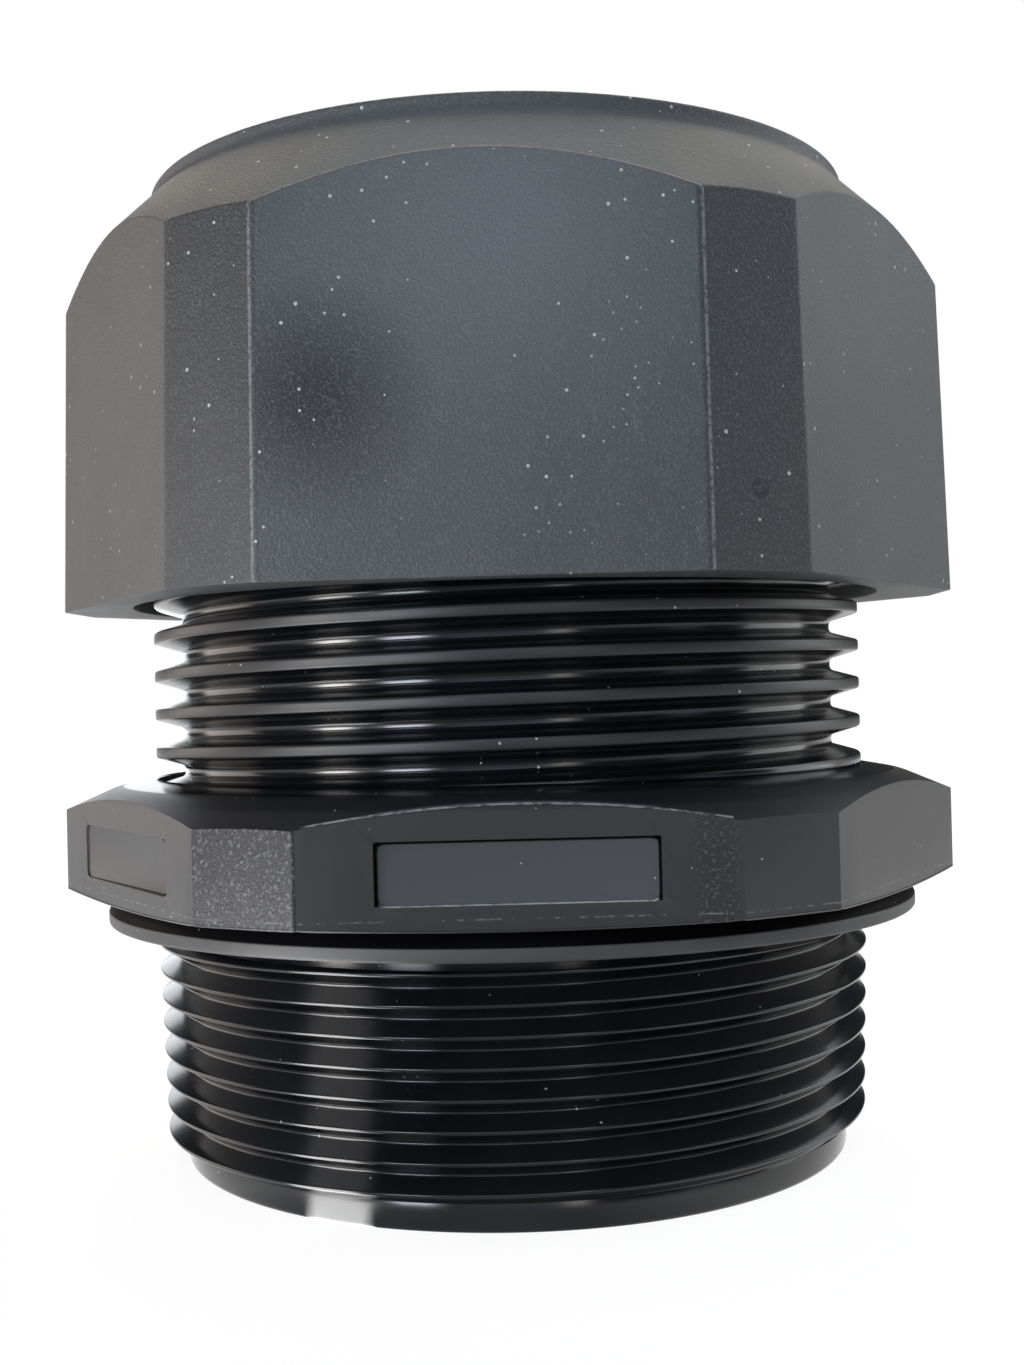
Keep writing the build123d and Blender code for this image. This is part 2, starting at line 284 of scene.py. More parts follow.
def turned(name, corners):
    """Solid of revolution about the axis, from an outline that is closed or ends on the axis."""
    piece = draw_outline(name, corners, closed=corners[0][0] > 0)
    screw = piece.modifiers.new("turning", "SCREW")
    screw.steps = screw.render_steps = ROUND_STEPS
    screw.use_merge_vertices = True
    screw.merge_threshold = WELD
    apply_modifier(piece, screw)
    face_outward(piece)
    return piece


def rounded(corner, before, after, radius, steps=4):
    """Points of an arc that rounds the corner between its two neighbours."""
    here = Vector(corner)
    to_before = (Vector(before) - here).normalized()
    to_after = (Vector(after) - here).normalized()
    half = to_before.angle(to_after) / 2
    centre = here + (to_before + to_after).normalized() * radius / math.sin(half)
    first = here + to_before * radius / math.tan(half) - centre
    last = here + to_after * radius / math.tan(half) - centre
    sweep = first.angle_signed(last)
    points = []
    for k in range(steps + 1):
        turn = Matrix.Rotation(-sweep * k / steps, 2)
        points.append(tuple(centre + turn @ first))
    return points


def threaded_rod(name, section, pitch, low, high):
    """Rod with a right-handed thread, wound from one pitch of its section and cut flat at both ends."""
    piece = draw_outline(name, section, closed=False)
    screw = piece.modifiers.new("winding", "SCREW")
    screw.screw_offset = pitch * MM
    screw.iterations = math.ceil((high - section[0][1]) / pitch) + 1
    screw.steps = screw.render_steps = ROUND_STEPS
    apply_modifier(piece, screw)
    edit_all(piece)
    bpy.ops.mesh.remove_doubles(threshold=WELD)
    for height, facing in ((low, -1), (high, 1)):
        bpy.ops.mesh.select_all(action="SELECT")
        slice_off((0, 0, height * MM), (0, 0, facing))
    bpy.ops.object.mode_set(mode="OBJECT")
    face_outward(piece)
    return piece


def combine(piece, tool, operation):
    """Boolean of a piece with a tool, which is used up."""
    boolean = piece.modifiers.new("shaping", "BOOLEAN")
    boolean.operation = operation
    boolean.object = tool
    boolean.solver = "EXACT"
    apply_modifier(piece, boolean)
    bpy.data.objects.remove(tool)


def soften_edges(piece, width, sharper_than, segments=3):
    """Round every edge that is sharper than an angle."""
    bevel = piece.modifiers.new("edges", "BEVEL")
    bevel.width = width * MM
    bevel.segments = segments
    bevel.limit_method = "ANGLE"
    bevel.angle_limit = math.radians(sharper_than)
    bevel.use_clamp_overlap = False
    apply_modifier(piece, bevel)


def chamfer_outline(piece, width, sharper_than, low, high):
    """Chamfer the sharp edges, apart from those that lie between two heights."""
    edit_all(piece)
    bpy.ops.mesh.select_mode(type="EDGE")
    bpy.ops.mesh.select_all(action="DESELECT")
    bpy.ops.mesh.edges_select_sharp(sharpness=math.radians(sharper_than))
    bpy.ops.object.mode_set(mode="OBJECT")
    mesh = piece.data
    for edge in mesh.edges:
        if all(low * MM < mesh.vertices[v].co.z < high * MM for v in edge.vertices):
            edge.select = False
    bpy.ops.object.mode_set(mode="EDIT")
    bpy.ops.mesh.bevel(offset=width * MM, segments=1, clamp_overlap=True)
    bpy.ops.mesh.select_mode(type="VERT")
    bpy.ops.object.mode_set(mode="OBJECT")


def shade_round(piece, angle):
    """Shade smooth across edges that are blunter than an angle."""
    pick(piece)
    bpy.ops.object.shade_smooth_by_angle(angle=math.radians(angle))


def join(name, pieces):
    """One piece from several overlapping shells."""
    clear_selection()
    for piece in pieces:
        piece.select_set(True)
    bpy.context.view_layer.objects.active = pieces[0]
    bpy.ops.object.join()
    pieces[0].name = name
    return pieces[0]


def cut_hexagon(name, wide, narrow, bottom, top, draft=0.0, turn=0.0):
    """Drafted hexagon with wide flats, its six corners sliced off by narrow flats."""
    clear_selection()
    to_corner = 1 / math.cos(math.radians(30))
    shrink = (top - bottom) * math.tan(draft)
    bpy.ops.mesh.primitive_cone_add(
        vertices=6,
        radius1=wide * to_corner * MM,
        radius2=(wide - shrink) * to_corner * MM,
        depth=(top - bottom) * MM,
        location=(0, 0, (bottom + top) / 2 * MM),
        rotation=(0, 0, math.radians(30) + turn),
    )
    piece = bpy.context.object
    piece.name = name
    settle(piece)
    edit_all(piece)
    for k in range(6):
        angle = turn + math.radians(60 * k)
        outward = Vector((math.cos(angle), math.sin(angle), 0))
        facing = outward * math.cos(draft) + Vector((0, 0, math.sin(draft)))
        place = outward * narrow * MM + Vector((0, 0, bottom * MM))
        bpy.ops.mesh.select_all(action="SELECT")
        slice_off(place, facing)
    bpy.ops.object.mode_set(mode="OBJECT")
    face_outward(piece)
    return piece


def box(name, size, place, turn=0.0, corner=0.0):
    """Block turned about the axis, with its four edges that face outward rounded."""
    clear_selection()
    bpy.ops.mesh.primitive_cube_add(size=1)
    piece = bpy.context.object
    piece.name = name
    piece.scale = [side * MM for side in size]
    bpy.ops.object.transform_apply(scale=True)
    if corner:
        edit_all(piece)
        bpy.ops.mesh.select_mode(type="EDGE")
        bpy.ops.mesh.select_all(action="DESELECT")
        bpy.ops.object.mode_set(mode="OBJECT")
        mesh = piece.data
        for edge in mesh.edges:
            a, b = (mesh.vertices[v].co for v in edge.vertices)
            edge.select = abs(a.x - b.x) < WELD and abs(a.z - b.z) < WELD
        bpy.ops.object.mode_set(mode="EDIT")
        bpy.ops.mesh.bevel(offset=corner * MM, segments=4)
        bpy.ops.mesh.select_mode(type="VERT")
        bpy.ops.object.mode_set(mode="OBJECT")
    piece.rotation_euler = (0, 0, turn)
    piece.location = Vector(place) * MM
    bpy.ops.object.transform_apply(location=True, rotation=True, scale=True)
    return piece


def both_halves(lower, middle):
    """Section of one pitch: its lower half, then the same mirrored about the ridge."""
    upper = [(radius, -rise) for radius, rise in reversed(lower)]
    return [(radius, middle + rise) for radius, rise in lower + upper]


def grip_section(gap, crest_round, root_round):
    """One pitch of the grip thread, from mid-groove to mid-groove, set outward by a gap."""
    crest, root = GRIP_CREST + gap, GRIP_ROOT + gap
    half_crest = GRIP_CREST_WIDTH / 2 + gap * 0.7
    half_root = half_crest + (crest - root) * math.tan(GRIP_FLANK)
    start, foot, edge = (root, -GRIP_PITCH / 2), (root, -half_root), (crest, -half_crest)
    root_arc = rounded(foot, start, edge, root_round)
    crest_arc = rounded(edge, foot, (crest, 0), crest_round)
    return both_halves([start, *root_arc, *crest_arc], GRIP_RIDGE_AT_ZERO_TURN - 3 * GRIP_PITCH)


def hub_section():
    """One pitch of the pipe thread, from mid-groove to mid-groove."""
    half_pitch = HUB_PITCH / 2
    half_crest = HUB_CREST_WIDTH / 2
    edge = (HUB_CREST, -half_crest)
    v_point = (HUB_CREST - (half_pitch - half_crest) / math.tan(math.radians(30)), -half_pitch)
    lower = []
    for k in range(4):
        turn = math.radians(20 * k)
        inward = HUB_ROOT_ROUND * (2 - math.cos(turn))
        lower.append((v_point[0] + inward, -half_pitch + HUB_ROOT_ROUND * math.sin(turn)))
    lower += rounded(edge, v_point, (HUB_CREST, 0), HUB_CREST_ROUND, 4)
    return both_halves(lower, HUB_RIDGE_AT_ZERO_TURN - 3 * HUB_PITCH)


def cylinder(name, radius, bottom, top):
    """Plain cylinder about the axis."""
    return turned(name, [(0, bottom), (radius, bottom), (radius, top), (0, top)])


def hub_thread():
    """Tapered pipe thread of the hub."""
    piece = threaded_rod("hub_thread", hub_section(), HUB_PITCH, PILOT_TOP, HUB_THREAD_TOP)
    taper = piece.modifiers.new("taper", "SIMPLE_DEFORM")
    taper.deform_method = "TAPER"
    taper.deform_axis = "Z"
    reach_at_zero = HUB_CREST - PILOT_TOP * HUB_TAPER
    taper.factor = HUB_TAPER * (HUB_THREAD_TOP - PILOT_TOP) / reach_at_zero
    apply_modifier(piece, taper)
    edit_all(piece)
    at_zero = reach_at_zero / HUB_CREST
    bpy.ops.transform.resize(value=(at_zero, at_zero, 1), center_override=(0, 0, 0))
    bpy.ops.object.mode_set(mode="OBJECT")
    combine(piece, cylinder("hub_hollow", HUB_CORE - OVERLAP, -1, HUB_THREAD_TOP + 1), "DIFFERENCE")
    shade_round(piece, 25)
    return piece


def core():
    """Turned core of the body: bore, pilot, neck, washer seat and the ring of the fingers."""
    piece = turned(
        "core",
        [
            (BORE + BORE_CHAMFER, 0),
            *rounded((PILOT, 0), (BORE, 0), (PILOT, PILOT_TOP), PILOT_LIP_ROUND),
            *rounded((PILOT, PILOT_TOP), (PILOT, 0), (HUB_CORE, PILOT_TOP), PILOT_STEP_ROUND, 2),
            (HUB_CORE, PILOT_TOP),
            (HUB_CORE, HUB_THREAD_TOP - 2 * OVERLAP),
            (NECK, HUB_THREAD_TOP - 2 * OVERLAP),
            (NECK, WASHER_BOTTOM),
            (WASHER_SEAT, WASHER_BOTTOM),
            (WASHER_SEAT, FLANGE_BOTTOM + 1),
            (GRIP_CORE, FLANGE_BOTTOM + 1),
            (GRIP_CORE, GRIP_THREAD_TOP - OVERLAP),
            (FINGER_OUTER, GRIP_THREAD_TOP - OVERLAP),
            (FINGER_OUTER, FINGER_TIP - FINGER_SLOPE_HEIGHT),
            (FINGER_OUTER - FINGER_SLOPE_WIDTH, FINGER_TIP),
            (GROMMET_SEAT_RADIUS, FINGER_TIP),
            (GROMMET_SEAT_RADIUS, GROMMET_SEAT),
            (BORE, GROMMET_SEAT),
            (BORE, BORE_CHAMFER),
        ],
    )
    middle = (FINGER_OUTER + GROMMET_SEAT_RADIUS) / 2
    bottom = GRIP_THREAD_TOP + FINGER_ROOT
    slots = []
    for k in range(FINGER_COUNT):
        turn = 2 * math.pi * k / FINGER_COUNT
        place = (middle * math.cos(turn), middle * math.sin(turn), (bottom + FINGER_TIP + 1) / 2)
        slots.append(box("finger_slot", (4, FINGER_SLOT, FINGER_TIP + 1 - bottom), place, turn))
    combine(piece, join("finger_slots", slots), "DIFFERENCE")
    shade_round(piece, 25)
    return piece


def flange():
    """Wrench flange with its cone shoulder and its two bare marking panels."""
    piece = cut_hexagon("flange", FLANGE_WIDE, FLANGE_NARROW, FLANGE_BOTTOM, SHOULDER_TOP)
    hole = GRIP_CREST + 0.02
    slope = (SHOULDER_TOP - SHOULDER_BREAK) / (SHOULDER_BREAK_RADIUS - GRIP_ROOT)
    rim = SHOULDER_BREAK + (SHOULDER_BREAK_RADIUS - hole) * slope
    shoulder_break = (SHOULDER_BREAK_RADIUS, SHOULDER_BREAK)
    envelope = turned(
        "flange_envelope",
        [
            (WASHER_SEAT - 2, FLANGE_BOTTOM),
            (WASHER_OUTER, FLANGE_BOTTOM),
            (FLANGE_CORNER, FLANGE_CORNER_BOTTOM),
            (FLANGE_CORNER, FLANGE_CORNER_TOP),
            *rounded(shoulder_break, (FLANGE_CORNER, FLANGE_CORNER_TOP), (hole, rim), 6, 6),
            (hole, rim),
            (hole, FLANGE_CORNER_TOP),
            (WASHER_SEAT - 2, FLANGE_CORNER_TOP - 1.4),
        ],
    )
    combine(piece, envelope, "INTERSECT")
    size = (PANEL_LENGTH, CUTTER_THICKNESS, PANEL_HEIGHT)
    place = (0, PANEL_DEPTH - FLANGE_WIDE - CUTTER_THICKNESS / 2, PANEL_MIDDLE)
    combine(piece, box("front_panel", size, place, 0, PANEL_CORNER), "DIFFERENCE")
    azimuth = math.radians(-60)
    turn = azimuth + math.atan(LEFT_PANEL_SLANT / PANEL_LENGTH)
    outward = Vector((math.sin(azimuth), -math.cos(azimuth), 0))
    facing = Vector((math.sin(turn), -math.cos(turn), 0))
    place = outward * (FLANGE_WIDE - PANEL_DEPTH) + facing * CUTTER_THICKNESS / 2
    place.z = PANEL_MIDDLE
    combine(piece, box("left_panel", size, place, turn, PANEL_CORNER), "DIFFERENCE")
    chamfer_outline(piece, FLANGE_CHAMFER, 22, PANEL_BOTTOM - 0.1, PANEL_TOP + 0.15)
    soften_edges(piece, FLANGE_EDGE_ROUND, 40, 2)
    shade_round(piece, 20)
    return piece


def grip_thread():
    """Coarse thread of the body, which starts inside the shoulder."""
    low = FLANGE_CORNER_TOP
    section = grip_section(0, GRIP_CREST_ROUND, GRIP_ROOT_ROUND)
    piece = threaded_rod("grip_thread", section, GRIP_PITCH, low, GRIP_THREAD_TOP)
    combine(piece, cylinder("grip_hollow", GRIP_CORE - OVERLAP, low - 1, GRIP_THREAD_TOP + 1), "DIFFERENCE")
    shade_round(piece, 25)
    return piece


def grip_body():
    """Grip body, from its turned core, its two threads and its flange."""
    piece = join("grip_body", [core(), hub_thread(), flange(), grip_thread()])
    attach(piece, "body")
    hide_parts("cord_grip_body")
    return piece


def washer():
    """Rubber washer with a sloped upper rim."""
    inner_bottom, outer_bottom = (WASHER_INNER, WASHER_BOTTOM), (WASHER_OUTER, WASHER_BOTTOM)
    slope_foot = (WASHER_OUTER, FLANGE_BOTTOM - WASHER_SLOPE_HEIGHT)
    slope_head = (WASHER_OUTER - WASHER_SLOPE_WIDTH, FLANGE_BOTTOM)
    inner_top = (WASHER_INNER, FLANGE_BOTTOM)
    piece = turned(
        "washer_ring",
        [
            inner_bottom,
            *rounded(outer_bottom, inner_bottom, slope_foot, 0.25),
            *rounded(slope_foot, outer_bottom, slope_head, 0.15),
            *rounded(slope_head, slope_foot, inner_top, 0.1, 2),
            inner_top,
        ],
    )
    shade_round(piece, 30)
    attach(piece, "body")
    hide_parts("sealing_washer")
    return piece


def grommet():
    """Elastomer bush with a flared mouth at each end."""
    bottom, top = GROMMET_SEAT + GROMMET_END_PLAY, FINGER_TIP + GROMMET_RISE
    outer = GROMMET_SEAT_RADIUS - GROMMET_SIDE_PLAY
    mouth = GROMMET_BORE + GROMMET_FLARE
    middle = (bottom + top) / 2
    low_neck = (GROMMET_BORE, middle - GROMMET_HALF_STRAIGHT)
    high_neck = (GROMMET_BORE, middle + GROMMET_HALF_STRAIGHT)
    piece = turned(
        "grommet_bush",
        [
            *rounded((mouth, bottom), low_neck, (outer, bottom), GROMMET_ROUND),
            *rounded((outer, bottom), (mouth, bottom), (outer, top), GROMMET_ROUND),
            *rounded((outer, top), (outer, bottom), (mouth, top), GROMMET_ROUND),
            *rounded((mouth, top), (outer, top), high_neck, GROMMET_ROUND),
            high_neck,
            low_neck,
        ],
    )
    shade_round(piece, 30)
    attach(piece, "grommet")
    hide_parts("sealing_grommet")
    return piece


def nut_thread():
    """Ring with the nut's inner thread, set into the nut's wall."""
    low, high = NUT_BOTTOM + NUT_MOUTH_DEPTH + 0.02, NUT_THREAD_TOP
    piece = cylinder("nut_thread", NUT_WALL_INSIDE + 2 * OVERLAP, low, high)
    tap = threaded_rod("nut_tap", grip_section(THREAD_GAP, 0.05, 0.05), GRIP_PITCH, low - 1, high + 1)
    combine(piece, tap, "DIFFERENCE")
    shade_round(piece, 25)
    return piece


def gate_mark():
    """Shallow ring left by the moulding gate on one narrow flat of the nut."""
    turn = NUT_TURN + math.radians(30)
    reach = NUT_NARROW - (GATE_MARK_HEIGHT - NUT_BOTTOM) * math.tan(NUT_DRAFT)
    outward = Vector((math.sin(turn), -math.cos(turn), 0))
    sideways = Vector((math.cos(turn), math.sin(turn), 0))
    place = outward * reach + sideways * GATE_MARK_SIDE + Vector((0, 0, GATE_MARK_HEIGHT))
    clear_selection()
    bpy.ops.mesh.primitive_torus_add(
        major_radius=GATE_MARK_RADIUS * MM,
        minor_radius=GATE_MARK_GROOVE * MM,
        major_segments=36,
        minor_segments=12,
        location=place * MM,
        rotation=(math.radians(90), 0, turn),
    )
    piece = bpy.context.object
    piece.name = "gate_mark"
    bpy.ops.object.transform_apply(location=True, rotation=True, scale=True)
    return piece


def nut_shell():
    """Outside of the nut with its draft, and its inside but for the thread."""
    piece = cut_hexagon("nut_shell", NUT_WIDE, NUT_NARROW, NUT_BOTTOM, NUT_TOP, NUT_DRAFT, NUT_TURN)
    collar_bottom = NUT_TOP - NUT_COLLAR_HEIGHT
    reach = NUT_CORNER + 1
    foot = collar_bottom - (reach - NUT_COLLAR) * math.tan(NUT_SHOULDER)
    collar_foot, collar_rim = (NUT_COLLAR, collar_bottom), (NUT_COLLAR, NUT_TOP)
    minor = GRIP_ROOT + THREAD_GAP
    envelope = turned(
        "nut_envelope",
        [
            (NUT_MOUTH, NUT_BOTTOM - 1),
            (reach, NUT_BOTTOM - 1),
            (reach, foot),
            *rounded(collar_foot, (reach, foot), collar_rim, NUT_COLLAR_FILLET, 6),
            *rounded(collar_rim, collar_foot, (NUT_OPENING, NUT_TOP), NUT_COLLAR_ROUND, 9),
            (NUT_OPENING + NUT_OPENING_CHAMFER, NUT_TOP),
            (NUT_OPENING, NUT_TOP - NUT_OPENING_CHAMFER),
            (NUT_OPENING, NUT_TOP - NUT_OPENING_TOP_WALL),
            (minor, NUT_CONE_BOTTOM),
            (minor, NUT_THREAD_TOP - NUT_THREAD_LAP),
            (NUT_WALL_INSIDE, NUT_THREAD_TOP - NUT_THREAD_LAP),
            (NUT_WALL_INSIDE, NUT_BOTTOM + NUT_MOUTH_DEPTH),
            (NUT_MOUTH, NUT_BOTTOM + NUT_MOUTH_DEPTH),
        ],
    )
    combine(piece, envelope, "INTERSECT")
    turn = RIM_NOTCH_TURN
    place = ((NUT_MOUTH + 4) * math.cos(turn), (NUT_MOUTH + 4) * math.sin(turn), NUT_BOTTOM)
    combine(piece, box("rim_notch", RIM_NOTCH, place, turn), "DIFFERENCE")
    soften_edges(piece, NUT_EDGE_ROUND, 12)
    combine(piece, gate_mark(), "DIFFERENCE")
    shade_round(piece, 22)
    return piece


def nut():
    """Domed sealing nut."""
    piece = join("domed_nut", [nut_shell(), nut_thread()])
    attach(piece, "nut")
    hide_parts("sealing_nut")
    return piece


def new_material(name, slot_name):
    """Material whose surface starts from the record's colour for a slot."""
    record = {entry["slot"]: entry for entry in frame["record"]["materials"]}
    material = bpy.data.materials.new(name)
    material.use_nodes = True
    tree = material.node_tree
    surface = tree.nodes["Principled BSDF"]
    colour = record[slot_name]["base_color"]
    surface.inputs["Base Color"].default_value = (*colour, 1)
    return material, tree, surface


def pattern(tree, kind, scale, **settings):
    """Texture node that reads the piece's own coordinates, in metres."""
    place = tree.nodes.new("ShaderNodeTexCoord")
    texture = tree.nodes.new(kind)
    texture.inputs["Scale"].default_value = scale
    for socket, value in settings.items():
        texture.inputs[socket].default_value = value
    tree.links.new(place.outputs["Object"], texture.inputs["Vector"])
    return texture


def plug(tree, socket, value):
    """Give a socket a number or the output of another node."""
    if isinstance(value, bpy.types.NodeSocket):
        tree.links.new(value, socket)
    else:
        socket.default_value = value


def reckon(tree, operation, *values):
    """Arithmetic on numbers and sockets."""
    node = tree.nodes.new("ShaderNodeMath")
    node.operation = operation
    for socket, value in zip(node.inputs, values):
        plug(tree, socket, value)
    return node.outputs[0]


def ramp(tree, value, low, high, from_value=0.0, to_value=1.0):
    """Map a value between two limits to a new range."""
    node = tree.nodes.new("ShaderNodeMapRange")
    node.inputs["From Min"].default_value = low
    node.inputs["From Max"].default_value = high
    plug(tree, node.inputs["To Min"], from_value)
    plug(tree, node.inputs["To Max"], to_value)
    tree.links.new(value, node.inputs["Value"])
    return node.outputs["Result"]


def blend_colour(tree, amount, below, above):
    """Mix two colours, each a triple or a socket, by an amount."""
    node = tree.nodes.new("ShaderNodeMix")
    node.data_type = "RGBA"
    tree.links.new(amount, node.inputs[0])
    for socket, colour in ((6, below), (7, above)):
        if isinstance(colour, bpy.types.NodeSocket):
            tree.links.new(colour, node.inputs[socket])
        else:
            node.inputs[socket].default_value = (*colour, 1)
    return node.outputs[2]


def product(tree, *values):
    """All the values multiplied."""
    total = values[0]
    for value in values[1:]:
        total = reckon(tree, "MULTIPLY", total, value)
    return total


def axes(tree):
    """The piece's own x, y and z, and the distance from its axis."""
    place = tree.nodes.new("ShaderNodeTexCoord")
    parts = tree.nodes.new("ShaderNodeSeparateXYZ")
    tree.links.new(place.outputs["Object"], parts.inputs[0])
    x, y, z = parts.outputs
    squares = reckon(tree, "ADD", product(tree, x, x), product(tree, y, y))
    return x, y, z, reckon(tree, "SQRT", squares)


def past(tree, value, low, high):
    """Nought below one limit and one above another, both in millimetres."""
    return ramp(tree, value, low * MM, high * MM)


def band(tree, value, low, high, soft):
    """One between two limits in millimetres, fading to nought on both sides."""
    rise = past(tree, value, low - soft, low)
    fall = ramp(tree, value, high * MM, (high + soft) * MM, 1.0, 0.0)
    return product(tree, rise, fall)


def along(tree, x, y, azimuth):
    """How far a place lies towards an azimuth, measured from the front towards the right."""
    turn = math.radians(azimuth)
    return reckon(tree, "ADD", product(tree, x, math.sin(turn)), product(tree, y, -math.cos(turn)))


def on_flat(tree, x, y, azimuth, reach, drawn_in=0.0):
    """One on the flat that faces an azimuth, drawn in by its draft."""
    outward = reckon(tree, "ADD", along(tree, x, y, azimuth), drawn_in)
    return past(tree, outward, reach - 0.12, reach - 0.06)


def on_edge_of_flat(tree, x, y, azimuth, reach, width, drawn_in=0.0):
    """One on the broken edge all round a flat."""
    with_edge = on_flat(tree, x, y, azimuth, reach - width, drawn_in)
    return reckon(tree, "SUBTRACT", with_edge, on_flat(tree, x, y, azimuth, reach, drawn_in))


def near_spot(tree, centre, inner, outer):
    """One within a distance of a spot, fading to nought further out, all in millimetres."""
    place = tree.nodes.new("ShaderNodeTexCoord")
    gap = tree.nodes.new("ShaderNodeVectorMath")
    gap.operation = "DISTANCE"
    tree.links.new(place.outputs["Object"], gap.inputs[0])
    gap.inputs[1].default_value = [c * MM for c in centre]
    return ramp(tree, gap.outputs["Value"], inner * MM, outer * MM, 1.0, 0.0)


def speckle(tree, scale, detail):
    """Noise as a number, with its features to the metre."""
    return pattern(tree, "ShaderNodeTexNoise", scale, Detail=detail).outputs["Fac"]


def mottled(tree, clouds, dark, light):
    """Tone between two colours that follows broad soft clouds."""
    return blend_colour(tree, ramp(tree, clouds, 0.35, 0.65), dark, light)


def add_grain(tree, surface, scale, depth):
    """Fine moulded grain as bump, with its depth in millimetres as a number or a socket."""
    grain = pattern(tree, "ShaderNodeTexNoise", scale, Detail=1.5, Roughness=0.6)
    bump = tree.nodes.new("ShaderNodeBump")
    bump.inputs["Distance"].default_value = MM
    tree.links.new(product(tree, grain.outputs["Fac"], depth), bump.inputs["Height"])
    tree.links.new(bump.outputs["Normal"], surface.inputs["Normal"])


def add_dust(tree, colour, scale, size, share, dust_colour):
    """Scattered pale dust specks over a colour, in a share of the cells."""
    cells = pattern(tree, "ShaderNodeTexVoronoi", scale, Randomness=1.0)
    chance = tree.nodes.new("ShaderNodeSeparateColor")
    tree.links.new(cells.outputs["Color"], chance.inputs[0])
    width = product(tree, chance.outputs[1], size)
    inside = reckon(tree, "LESS_THAN", cells.outputs["Distance"], width)
    chosen = reckon(tree, "LESS_THAN", chance.outputs[0], share)
    return blend_colour(tree, product(tree, inside, chosen), colour, dust_colour)


def paint_light_and_shade_on_nut_flats(tree, tone, x, y, drawn_in):
    """Painted light and shade: darker narrow flats, and a warmer wide flat at the left where warm light
    falls.
    """
    for azimuth, reach, share, shade in (
        (-30, NUT_NARROW, 1.0, (0.026, 0.027, 0.031)),
        (30, NUT_NARROW, 1.0, (0.034, 0.037, 0.041)),
        (-60, NUT_WIDE, 0.6, (0.040, 0.038, 0.036)),
    ):
        flat = on_flat(tree, x, y, azimuth + math.degrees(NUT_TURN), reach, drawn_in)
        tone = blend_colour(tree, product(tree, flat, share), tone, shade)
    return tone


def nut_nylon():
    """Satin black nylon with a moulded grain, a painted highlight and a smudge, painted light and shade on
    the flats, a painted highlight on the broken edge and pale dust.
    """
    material, tree, surface = new_material("nut_nylon_satin", "nut_nylon")
    x, y, z, reach = axes(tree)
    clouds = speckle(tree, 90.0, 3.0)
    tone = mottled(tree, clouds, (0.048, 0.053, 0.058), (0.060, 0.065, 0.070))
    # Painted highlight: a paler patch high on the front flat
    front_highlight = product(tree, near_spot(tree, FRONT_HIGHLIGHT_PLACE, 2.0, 17.0), 0.9)
    tone = blend_colour(tree, front_highlight, tone, (0.092, 0.106, 0.118))
    smudge = product(tree, near_spot(tree, SMUDGE_PLACE, 1.5, 8.5), 0.9)
    tone = blend_colour(tree, smudge, tone, (0.010, 0.011, 0.018))
    height = reckon(tree, "SUBTRACT", z, NUT_BOTTOM * MM)
    drawn_in = product(tree, height, math.tan(NUT_DRAFT))
    # Painted light and shade on the flats of the nut
    tone = paint_light_and_shade_on_nut_flats(tree, tone, x, y, drawn_in)
    # Painted highlight: a speckled light line along the broken edge of the front flat
    edge = on_edge_of_flat(tree, x, y, math.degrees(NUT_TURN), NUT_WIDE, 0.12, drawn_in)
    edge_highlight = ramp(tree, speckle(tree, 2600.0, 2.0), 0.34, 0.52, 0.1, 0.8)
    tone = blend_colour(tree, product(tree, edge, edge_highlight), tone, (0.19, 0.20, 0.22))
    at_collar = band(tree, z, NUT_TOP - NUT_COLLAR_HEIGHT, NUT_TOP, 0.4)
    within = past(tree, reach, NUT_COLLAR + 0.5, NUT_COLLAR + 0.1)
    tone = blend_colour(tree, product(tree, at_collar, within), tone, (0.052, 0.057, 0.062))
    pale_grain = ramp(tree, speckle(tree, NUT_GRAIN, 1.0), 0.5, 0.8, 0.0, 0.45)
    tone = blend_colour(tree, pale_grain, tone, (0.14, 0.15, 0.155))
    tone = add_dust(tree, tone, 900.0, 0.13, 0.7, (0.42, 0.42, 0.40))
    dustier = add_dust(tree, tone, 1300.0, 0.15, 0.5, (0.34, 0.35, 0.35))
    tone = blend_colour(tree, near_spot(tree, DUSTY_PLACE, 4.0, 12.0), tone, dustier)
    tree.links.new(tone, surface.inputs["Base Color"])
    tree.links.new(ramp(tree, clouds, 0.3, 0.7, 0.48, 0.58), surface.inputs["Roughness"])
    tree.links.new(ramp(tree, smudge, 0.0, 1.0, 0.5, 0.36), surface.inputs["Specular IOR Level"])
    add_grain(tree, surface, NUT_GRAIN, 0.085)
    return material


def coarse_patches(tree, x, y, on_flange):
    """One on the coarse narrow flat at the left, and part of one beside the front panel."""
    left_flat = on_flat(tree, x, y, -30, FLANGE_NARROW)
    beside_panel = product(tree, on_flat(tree, x, y, 0, FLANGE_WIDE), past(tree, x, 11.5, 12.5))
    beside_panel = product(tree, beside_panel, ramp(tree, x, 14.2 * MM, 15 * MM, 0.45, 0.0))
    return product(tree, reckon(tree, "MAXIMUM", left_flat, beside_panel), on_flange)


def panel_floor(tree, x, y, on_flange):
    """One on the floor of the front panel."""
    deep = PANEL_DEPTH - FLANGE_WIDE
    inside = PANEL_END - 0.05
    return product(
        tree, band(tree, y, deep - 0.2, deep + 0.2, 0.05), band(tree, x, -inside, inside, 0.05), on_flange
    )


